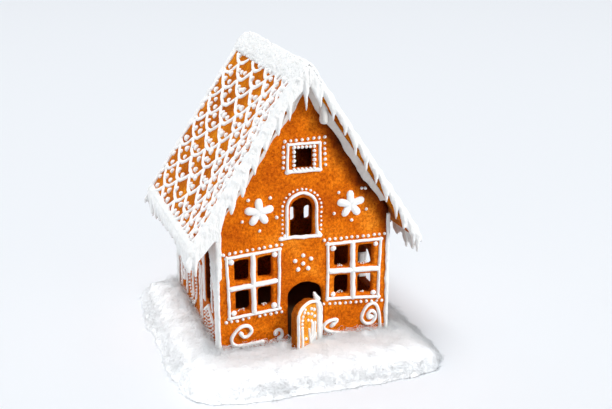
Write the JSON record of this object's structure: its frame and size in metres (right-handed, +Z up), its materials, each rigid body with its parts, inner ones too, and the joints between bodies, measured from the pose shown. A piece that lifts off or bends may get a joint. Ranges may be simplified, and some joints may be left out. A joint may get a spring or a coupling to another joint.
{
  "type": "gingerbread house",
  "caption": "Steep-roofed gingerbread house with open windows and a door ajar, piped with white icing, on a board with cotton-wool snow.",
  "frame": {"origin": "middle of the board's underside, on the surface it rests on", "axes": "+Z up; the gable with the door faces -Y; +X is the right-hand side seen from the front"},
  "size_m": [0.1772, 0.2052, 0.2074],
  "materials": {
    "gingerbread": "baked biscuit, matt, finely pored",
    "icing": "dried white sugar icing, satin",
    "cotton_wool": "fluffy white fibres",
    "board": "plain dark brown board"
  },
  "bodies": {
    "root": {"board": "board", "cotton_snow": "cotton_wool", "front_wall": "gingerbread", "back_wall": "gingerbread", "left_wall": "gingerbread", "right_wall": "gingerbread", "roof_left": "gingerbread", "roof_right": "gingerbread", "door": "gingerbread", "icing_ridge": "icing", "icing_gable_front_left": "icing", "icing_gable_front_right": "icing", "icing_gable_back_left": "icing", "icing_gable_back_right": "icing", "icing_eave_left": "icing", "icing_eave_right": "icing", "icing_corner_front_left": "icing", "icing_corner_front_right": "icing", "icing_corner_back_left": "icing", "icing_corner_back_right": "icing", "icing_seam_front_left": "icing", "icing_seam_front_right": "icing", "icing_seam_back_left": "icing", "icing_seam_back_right": "icing", "icing_window_front_left": "icing", "icing_window_front_right": "icing", "icing_window_back_left": "icing", "icing_window_back_right": "icing", "icing_flower_front_left": "icing", "icing_flower_front_right": "icing", "icing_flower_back_left": "icing", "icing_flower_back_right": "icing", "icing_arch_front": "icing", "icing_arch_back": "icing", "icing_attic_front": "icing", "icing_attic_back": "icing"}
  },
  "joints": []
}
